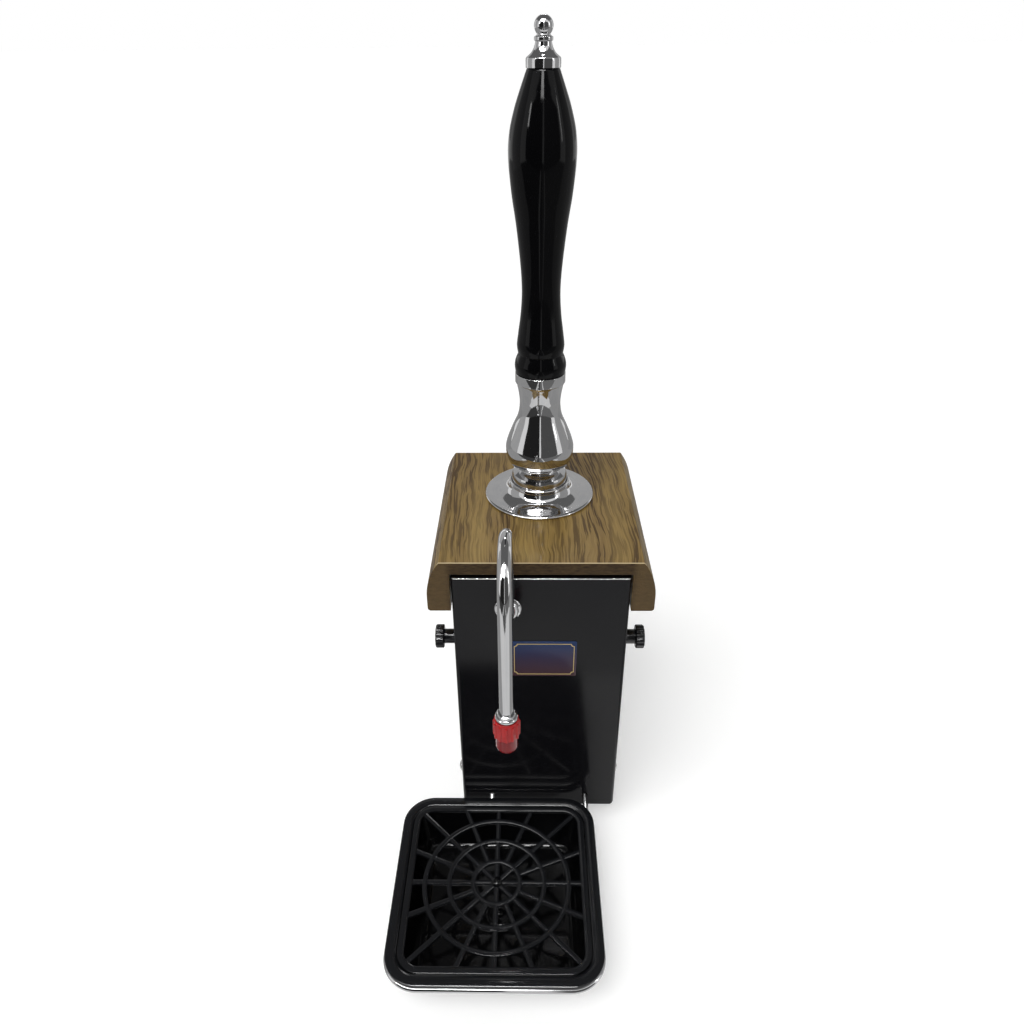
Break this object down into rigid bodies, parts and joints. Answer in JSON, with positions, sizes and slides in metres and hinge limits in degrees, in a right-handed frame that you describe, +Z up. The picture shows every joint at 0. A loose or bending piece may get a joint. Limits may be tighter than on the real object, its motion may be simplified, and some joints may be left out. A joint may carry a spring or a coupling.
{
  "type": "beer engine",
  "caption": "Clamp-on hand pump beer engine with an upright lever handle, swan-neck spout with sparkler, wooden cap and a square drip tray on a wire holder.",
  "frame": {"origin": "centre of the underside of the seat pad, on the top of the bar", "axes": "+Z up along the handle, the front with spout and drip tray faces -Y, +X is to the right as seen from the front"},
  "size_m": [0.1964, 0.3368, 0.6085],
  "materials": {
    "oak": "satin varnish",
    "steel_plate": "zinc plated",
    "steel_bright": "machined",
    "casing_black": "gloss",
    "plate_bare": "satin",
    "rubber_black": "matte",
    "cast_alloy": "cast",
    "bronze": "machined",
    "pump_plastic": "moulded",
    "cylinder_metal": "drawn",
    "chrome": "polished",
    "handle_black": "gloss",
    "clamp_black": "satin",
    "thumb_black": "satin",
    "sparkler_red": "gloss",
    "tray_black": "satin"
  },
  "bodies": {
    "root": {"wood_cap": "oak", "cap_screws": "steel_bright", "casing": "casing_black", "name_plate": "plate_bare", "side_screws": "steel_bright", "top_plate": "steel_plate", "cheek_left": "steel_plate", "cheek_right": "steel_plate", "seat_plate": "steel_plate", "seat_pad": "rubber_black", "back_plate": "steel_plate", "clamp_bracket": "steel_plate", "pump_shelf": "steel_plate", "prong_sleeves": "steel_plate", "fulcrum_pin": "steel_bright", "fulcrum_spacers": "steel_bright", "upper_cap": "pump_plastic", "gland_bush": "bronze", "cylinder_tube": "cylinder_metal", "lower_cap": "pump_plastic", "tie_rods": "steel_bright", "valve_block": "pump_plastic", "hose_tail": "bronze", "delivery_pipe": "cylinder_metal", "spout_elbow": "bronze", "spout_flange": "chrome", "swan_neck": "chrome", "nozzle": "chrome"},
    "lever": {"lever_arm": "cast_alloy", "lever_bush": "bronze", "fork_pin": "steel_bright", "ferrule": "chrome", "handle_grip": "handle_black", "finial": "chrome"},
    "roller": {"fork_roller": "bronze"},
    "piston": {"crosshead": "cast_alloy", "piston_rod": "steel_bright", "piston": "pump_plastic", "piston_seals": "rubber_black", "rod_nut": "steel_bright"},
    "rose": {"rose": "chrome"},
    "inlet_ball": {"inlet_ball": "steel_bright"},
    "outlet_ball": {"outlet_ball": "steel_bright"},
    "clamp_pad_left": {"clamp_pad_left": "clamp_black"},
    "clamp_screw_left": {"clamp_screw_left": "clamp_black"},
    "clamp_pad_right": {"clamp_pad_right": "clamp_black"},
    "clamp_screw_right": {"clamp_screw_right": "clamp_black"},
    "washer_left": {"thumb_washer_left": "steel_bright"},
    "thumb_left": {"thumb_screw_left": "thumb_black"},
    "washer_right": {"thumb_washer_right": "steel_bright"},
    "thumb_right": {"thumb_screw_right": "thumb_black"},
    "sparkler_seal": {"sparkler_seal": "rubber_black"},
    "sparkler": {"sparkler": "sparkler_red"},
    "tray_holder": {"tray_holder": "chrome"},
    "drip_tray": {"drip_tray": "tray_black"},
    "tray_grid": {"tray_grid": "tray_black"}
  },
  "joints": [
    {"name": "handle_swing", "type": "hinge", "parent": "root", "child": "lever", "pos_m": [0, -0.04, 0.009], "axis": [1, 0, 0], "range_deg": [-22, 22]},
    {"name": "roller_spin", "type": "hinge", "parent": "lever", "child": "roller", "pos_m": [0, -0.097, -0.00952], "axis": [1, 0, 0], "continuous": true},
    {"name": "piston_slide", "type": "slide", "parent": "root", "child": "piston", "axis": [0, 0, 1], "range_m": [-0.0238, 0.0238]},
    {"name": "rose_slide", "type": "slide", "parent": "root", "child": "rose", "axis": [0, -1, 0], "range_m": [-0.01833, 0.01833]},
    {"name": "inlet_ball_lift", "type": "slide", "parent": "root", "child": "inlet_ball", "axis": [0, 0, 1], "range_m": [0, 0.005]},
    {"name": "outlet_ball_lift", "type": "slide", "parent": "root", "child": "outlet_ball", "axis": [0, 0, 1], "range_m": [0, 0.0035]},
    {"name": "clamp_pad_left_travel", "type": "slide", "parent": "root", "child": "clamp_pad_left", "axis": [0, 0, 1], "range_m": [0, 0.045]},
    {"name": "clamp_screw_left_turn", "type": "hinge", "parent": "clamp_pad_left", "child": "clamp_screw_left", "pos_m": [-0.035, 0.004, -0.1], "axis": [0, 0, 1], "range_deg": [0, 10804]},
    {"name": "clamp_pad_right_travel", "type": "slide", "parent": "root", "child": "clamp_pad_right", "axis": [0, 0, 1], "range_m": [0, 0.045]},
    {"name": "clamp_screw_right_turn", "type": "hinge", "parent": "clamp_pad_right", "child": "clamp_screw_right", "pos_m": [0.035, 0.004, -0.1], "axis": [0, 0, 1], "range_deg": [0, 10804]},
    {"name": "thumb_left_travel", "type": "slide", "parent": "root", "child": "washer_left", "axis": [-1, 0, 0], "range_m": [0, 0.0125]},
    {"name": "thumb_left_turn", "type": "hinge", "parent": "washer_left", "child": "thumb_left", "pos_m": [-0.07, -0.116, -0.044], "axis": [-1, 0, 0], "range_deg": [0, 3604]},
    {"name": "thumb_right_travel", "type": "slide", "parent": "root", "child": "washer_right", "axis": [1, 0, 0], "range_m": [0, 0.0125]},
    {"name": "thumb_right_turn", "type": "hinge", "parent": "washer_right", "child": "thumb_right", "pos_m": [0.07, -0.116, -0.044], "axis": [1, 0, 0], "range_deg": [0, 3604]},
    {"name": "sparkler_travel", "type": "slide", "parent": "root", "child": "sparkler_seal", "axis": [0, 0, -1], "range_m": [0, 0.003]},
    {"name": "sparkler_turn", "type": "hinge", "parent": "sparkler_seal", "child": "sparkler", "pos_m": [-0.024, -0.216, -0.05], "axis": [0, 0, -1], "range_deg": [0, 722]},
    {"name": "holder_pull", "type": "slide", "parent": "root", "child": "tray_holder", "axis": [0, -1, 0], "range_m": [0, 0.03]},
    {"name": "tray_lift", "type": "slide", "parent": "tray_holder", "child": "drip_tray", "axis": [0, 0, 1], "range_m": [0, 0.05]},
    {"name": "grid_lift", "type": "slide", "parent": "drip_tray", "child": "tray_grid", "axis": [0, 0, 1], "range_m": [0, 0.05]}
  ],
  "couplings": [
    {"joint": "piston_slide", "follows": "handle_swing", "m_per_rad": -0.061858},
    {"joint": "rose_slide", "follows": "handle_swing", "m_per_rad": 0.047608},
    {"joint": "clamp_screw_left_turn", "follows": "clamp_pad_left_travel", "rad_per_m": 4188.8},
    {"joint": "clamp_screw_right_turn", "follows": "clamp_pad_right_travel", "rad_per_m": 4188.8},
    {"joint": "thumb_left_turn", "follows": "thumb_left_travel", "rad_per_m": 5026.5},
    {"joint": "thumb_right_turn", "follows": "thumb_right_travel", "rad_per_m": 5026.5},
    {"joint": "sparkler_turn", "follows": "sparkler_travel", "rad_per_m": 4188.8}
  ]
}
